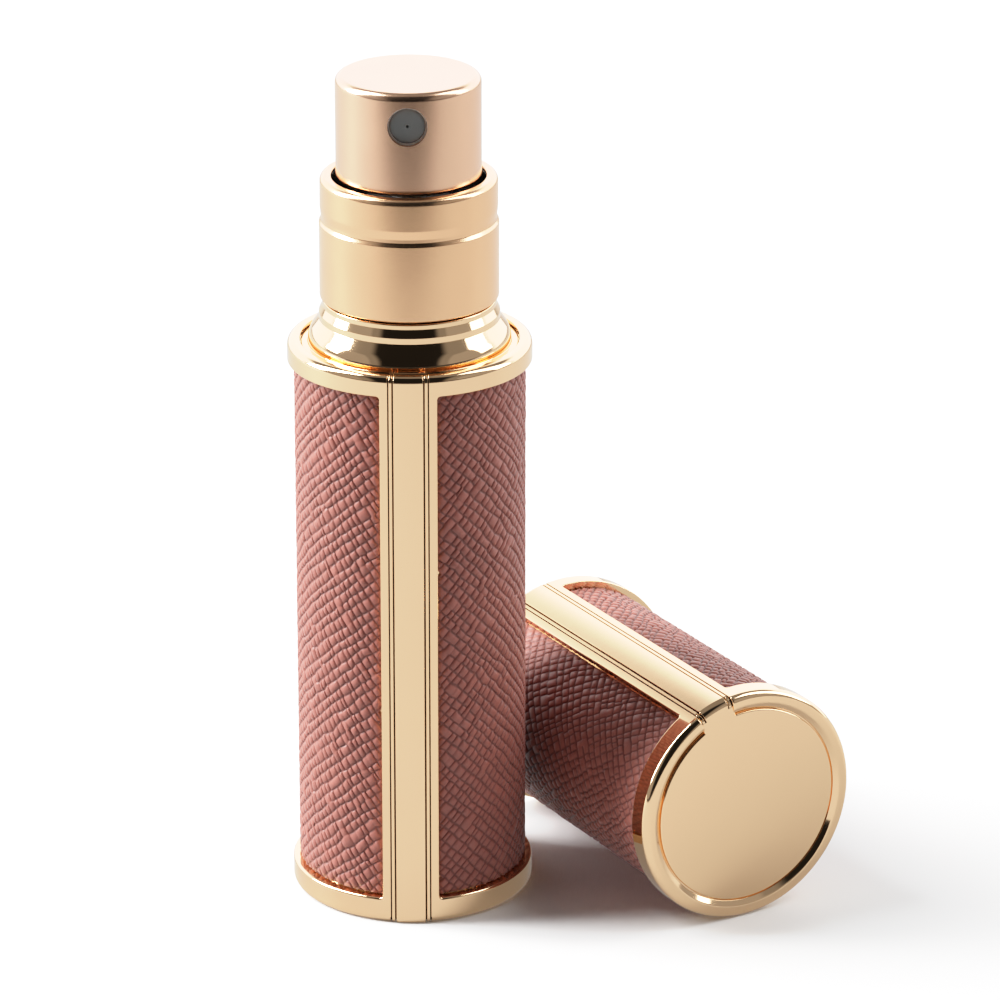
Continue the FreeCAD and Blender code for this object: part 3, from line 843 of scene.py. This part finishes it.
def room():
    """Nearly dark in front, dim overhead, pale walls at both sides and a lit panel behind."""
    world = bpy.data.worlds.new("studio")
    bpy.context.scene.world = world
    world.use_nodes = True
    nodes, links = world.node_tree.nodes, world.node_tree.links
    background = nodes["Background"]
    coords = nodes.new("ShaderNodeTexCoord")
    split = nodes.new("ShaderNodeSeparateXYZ")
    links.new(coords.outputs["Generated"], split.inputs["Vector"])

    def combine(operation, one, two):
        node = nodes.new("ShaderNodeMath")
        node.operation = operation
        links.new(one, node.inputs[0])
        links.new(two, node.inputs[1])
        return node.outputs["Value"]

    sideways = nodes.new("ShaderNodeMath")
    sideways.operation = "ABSOLUTE"
    links.new(split.outputs["X"], sideways.inputs[0])
    beside = sideways.outputs["Value"]
    wall_light, panel_light, dim_light, dark = 0.40, 2.6, 0.26, 0.012
    side_walls = band(nodes, links, beside, 0.60, 0.72, 0.0, wall_light)
    panel = band(nodes, links, split.outputs["Y"], 0.15, 0.45, 0.0, panel_light)
    below_top = band(nodes, links, split.outputs["Z"], 0.55, 0.68, 1.0, 0.0)
    lit = combine("MULTIPLY", combine("MAXIMUM", side_walls, panel), below_top)
    behind_lens = band(nodes, links, split.outputs["Y"], -0.40, -0.22, dark, dim_light)
    past_lens = band(nodes, links, beside, 0.48, 0.60, dark, dim_light)
    dim = combine("MAXIMUM", behind_lens, past_lens)
    links.new(combine("MAXIMUM", lit, dim), background.inputs["Color"])


def sheet():
    """White paper under the bottle. Bounced light and reflections meet greyer paper instead, which glows a
    little and ends in front of the bottle."""
    reach = 3.0
    seen, unseen_grey, unseen_edge, unseen_glow = 0.95, 0.30, 0.02, 0.22
    front = (-0.25, -0.18)
    mesh = bpy.data.meshes.new("floor")
    mesh.from_pydata([(-reach, -reach, 0), (reach, -reach, 0), (reach, reach, 0), (-reach, reach, 0)], [],
                     [(0, 1, 2, 3)])
    floor = show("floor", mesh)
    paper, shader = new_material("floor_paper", (0.85, 0.85, 0.85), 0.0, 0.7)
    shader.inputs["Specular IOR Level"].default_value = 0.1
    nodes, links = paper.node_tree.nodes, paper.node_tree.links
    coords = nodes.new("ShaderNodeTexCoord")
    split = nodes.new("ShaderNodeSeparateXYZ")
    links.new(coords.outputs["Object"], split.inputs["Vector"])
    unseen = band(nodes, links, split.outputs["Y"], *front, unseen_edge, unseen_grey)
    path = nodes.new("ShaderNodeLightPath")
    pick = nodes.new("ShaderNodeMix")
    links.new(path.outputs["Is Camera Ray"], pick.inputs["Factor"])
    links.new(unseen, pick.inputs["A"])
    pick.inputs["B"].default_value = seen
    links.new(pick.outputs["Result"], shader.inputs["Base Color"])
    glow = nodes.new("ShaderNodeMath")
    glow.operation = "MULTIPLY_ADD"
    links.new(path.outputs["Is Camera Ray"], glow.inputs[0])
    glow.inputs[1].default_value = -unseen_glow
    glow.inputs[2].default_value = unseen_glow
    links.new(band(nodes, links, split.outputs["Y"], *front, 0.0, 1.0), shader.inputs["Emission Color"])
    links.new(glow.outputs["Value"], shader.inputs["Emission Strength"])
    mesh.materials.append(paper)


def develop():
    """Tone curve with a soft shoulder: plain up to middle tones, and bright metal keeps its colour."""
    brightest = 2.4
    shoulder = ((0.34, 0.337), (0.60, 0.552), (0.83, 0.70), (1.0, 0.79), (1.46, 0.885), (2.0, 0.968))
    view = bpy.context.scene.view_settings
    view.view_transform = "Standard"
    view.use_curve_mapping = True
    mapping = view.curve_mapping
    mapping.white_level = (brightest, brightest, brightest)
    for light, tone in shoulder:
        mapping.curves[3].points.new(light / brightest, tone)
    mapping.update()


def studio():
    develop()
    room()
    sheet()
    middle = (0.01, 0, 0.04)
    softbox("left", (-0.90, 0.12, 0.72), middle, 0.44, 1.20, 54)
    softbox("right", (0.92, 0.12, 0.72), middle, 0.44, 1.20, 12)


def photographer():
    focal_px = 5782
    frame_px = 1000
    camera = bpy.data.cameras.new("camera")
    camera.sensor_width = 36
    camera.lens = focal_px / frame_px * camera.sensor_width
    camera.clip_start = 0.05
    camera.clip_end = 20
    eye = show("camera", camera)
    eye.location = (0.008611, -0.532374, 0.245031)
    tilt = 0.36693
    pan = 0.000376
    eye.rotation_euler = (math.pi / 2 - tilt, 0, -pan)
    bpy.context.scene.camera = eye


# --- Pieces -------------------------------------------------------------------------------------------

def cap_place():
    """Takes a shape made closed end down at the origin to where the cap lies."""
    slide = next(j for j in frame["joints"] if j["name"] == "cap_slide")
    to_end = Vector(slide["axis"]).normalized()
    low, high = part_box("cap_frame")
    middle = (low + high) / 2
    up = Vector((0, 0, 1))
    across = up.cross(to_end)
    strip_way = up * math.cos(CAP_ROLL) - across * math.sin(CAP_ROLL)
    z_axis = -to_end
    y_axis = -strip_way
    x_axis = y_axis.cross(z_axis)
    place = Matrix((x_axis, y_axis, z_axis)).transposed().to_4x4()
    place.translation = middle - z_axis * CAP_L / 2 * MM
    return place


def settle(piece, body, slot, *nodes):
    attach(piece, body)
    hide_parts(*nodes)


def turned(name, material, body, slot, *outlines):
    """A turned piece that stands for the CAD node of the same name."""
    skin = Skin()
    for corners in outlines:
        sweep(skin, corners)
    settle(skin.make(name + "_skin", material), body, slot, name)


def shells(gold, hide):
    lying = cap_place()
    settle(make_core("case_shell", CASE_H, 0.0, 0.45, gold), "case", "polished_gold", "case_core")
    settle(make_frame("case_trim", CASE_H, gold), "case", "polished_gold", "case_frame")
    settle(make_leather("case_wrap", CASE_H, 11, hide), "case", "leather", "case_leather")
    settle(make_core("cap_shell", CAP_L, 0.2, 0.8, gold, lying), "cap", "polished_gold", "cap_core")
    settle(make_frame("cap_trim", CAP_L, gold, lying), "cap", "polished_gold", "cap_frame")
    settle(make_leather("cap_wrap", CAP_L, 12, hide, lying), "cap", "leather", "cap_leather")


def sprayer(gold, satin, champagne, grey):
    neck = 6.4
    turned("shoulder_ring", gold, "refill", "polished_gold", [
        (neck, 61.68), (8.5, 61.68, 0.15), (8.5, 61.13, 0.15), (8.85, 60.38, 0.15), (8.85, 59.76, 0.12),
        (9.95, 58.25, 2.3), (9.95, 57.25, 0.1), (10.6, 57.2, 0.12), (10.6, 56.95, 0.05), (9.4, 56.95, 0.15),
        (9.35, 58.0), (8.2, 59.6), (7.9, 61.0), (neck, 61.0)])
    low, high = bottom("collar_shell"), top("collar_shell")
    collar_r = radius("collar_shell")
    upper_r = collar_r - 0.1
    bore = 8.35
    mouth = 7.5
    lip = 0.4
    snap_z = 70.15
    turned("collar_shell", satin, "collar", "satin_gold", [
        (bore, low), (collar_r, low, 0.22), (collar_r, snap_z - 0.62, 0.12), (upper_r - 0.1, snap_z - 0.3, 0.25),
        (upper_r - 0.1, snap_z + 0.1, 0.6), (upper_r, snap_z + 0.9, 1.2), (upper_r, high, 0.6),
        (mouth, high, 0.2), (mouth, high - lip, 0.15), (bore, high - lip, 0.4)])
    make_head(champagne)
    make_nozzle(grey)


def make_head(material):
    """Spray head's metal cap, with the nozzle's hole cut through its front."""
    r, low, high = radius("actuator_shell"), bottom("actuator_shell"), top("actuator_shell")
    inner = r - HEAD_WALL
    ceiling = high - HEAD_WALL
    skin = Skin()
    sweep(skin, [(0, high), (r, high, HEAD_EDGE), (r, low, HEAD_ROLL), (inner, low, 0.08), (inner, ceiling, 0.3),
                 (0, ceiling)])
    head = skin.make("actuator_shell_skin", material)
    nozzle_low, nozzle_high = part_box("nozzle_insert")
    centre_z = (nozzle_low.z + nozzle_high.z) / 2
    hole_r = (nozzle_high.z - nozzle_low.z) / 2 + 0.0002
    drill_mesh = bpy.data.meshes.new("drill")
    work = bmesh.new()
    through_front = Matrix.Translation((0, -2 * r * MM, centre_z)) @ Matrix.Rotation(math.pi / 2, 4, "X")
    bmesh.ops.create_cone(work, cap_ends=True, segments=96, radius1=hole_r, radius2=hole_r, depth=4 * r * MM,
                          matrix=through_front)
    work.to_mesh(drill_mesh)
    work.free()
    drill = show("drill", drill_mesh)
    cut = head.modifiers.new("hole", "BOOLEAN")
    cut.object = drill
    cut.solver = "EXACT"
    bpy.context.view_layer.update()
    cut_mesh = bpy.data.meshes.new_from_object(head.evaluated_get(bpy.context.evaluated_depsgraph_get()))
    head.modifiers.clear()
    head.data = cut_mesh
    bpy.data.objects.remove(drill)
    exact_head_normals(cut_mesh, r, high, low)
    settle(head, "spray_head", "satin_gold", "actuator_shell")


def exact_head_normals(mesh, r, high, low):
    """Normals of the turned outside, put back after the cut."""
    normals = []
    for face in mesh.polygons:
        for i in face.vertices:
            p = np.array(mesh.vertices[i].co) / MM
            reach = math.hypot(p[0], p[1])
            n = np.array(face.normal)
            outward = np.array([p[0], p[1], 0]) / max(reach, 1e-9)
            for rounding, level, way in ((HEAD_EDGE, high, 1), (HEAD_ROLL, low, -1)):
                centre_z = level - way * rounding
                past = (p[2] - centre_z) * way
                if reach > r - rounding - 1e-3 and past > -1e-3 and n @ (outward + [0, 0, way]) > 0.5:
                    lean = outward * (reach - (r - rounding)) + np.array([0, 0, p[2] - centre_z])
                    if np.linalg.norm(lean) > 0.9 * rounding:
                        n = lean / np.linalg.norm(lean)
            if reach > r - 0.01 and n @ outward > 0.9 and low + HEAD_ROLL - 1e-3 < p[2] < high - HEAD_EDGE + 1e-3:
                n = outward
            normals.append(Vector(n).normalized())
    mesh.polygons.foreach_set("use_smooth", [True] * len(mesh.polygons))
    mesh.normals_split_custom_set(normals)


def make_nozzle(material):
    """Round insert with a softly rounded rim and a dish round the orifice."""
    low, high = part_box("nozzle_insert")
    r = (high.x - low.x) / 2 / MM
    front, back = low.y / MM, high.y / MM
    depth = back - front
    skin = Skin()
    sweep(skin, [(0.0, 0.25), (0.11, 0.25), (0.13, 0.03, 0.03), (0.22, -0.015, 0.03), (0.33, 0.0, 0.06),
                 (r - 0.14, 0.0, 0.5), (r, 0.09, 0.10), (r, depth, 0.05), (0.0, depth)])
    place = Matrix.Translation((0, front * MM, (low.z + high.z) / 2)) @ Matrix.Rotation(-math.pi / 2, 4, "X")
    settle(skin.make("nozzle_insert_skin", material, place), "spray_head", "nozzle_grey", "nozzle_insert")


def carried_over(materials):
    """Gives the CAD nodes that stay their own finish, by their slot."""
    for subpart in frame["record"]["subparts"]:
        node = frame["nodes"][subpart["node"]]
        material = materials[subpart["material_slot"]]
        node.data.materials.clear()
        node.data.materials.append(material)


def main():
    gold = polished_gold()
    satin = satin_gold("satin_gold", (0.92, 0.545, 0.305), 0.20)
    champagne = satin_gold("champagne", (0.86, 0.52, 0.34), 0.21)
    grey = plastic("nozzle_grey", (0.19, 0.195, 0.19), 0.5)
    hide = leather()
    carried_over({
        "polished_gold": gold,
        "satin_gold": satin,
        "leather": hide,
        "liner_plastic": plastic("liner_plastic", (0.80, 0.73, 0.62), 0.35),
        "glass": glass(),
        "clear_plastic": plastic("clear_plastic", (0.80, 0.82, 0.83), 0.25, 0.2),
        "white_plastic": plastic("white_plastic", (0.84, 0.84, 0.83), 0.38, 0.1),
        # Near-black plastic: painted shade for the parts inside the collar that show in the gap under the spray
        # head.
        "black_plastic": plastic("black_plastic", (0.012, 0.012, 0.012), 0.35),
        "gasket": plastic("gasket", (0.75, 0.75, 0.73), 0.6),
        "steel": steel(),
        "nozzle_grey": grey,
    })
    shells(gold, hide)
    sprayer(gold, satin, champagne, grey)
    studio()
    photographer()


main()
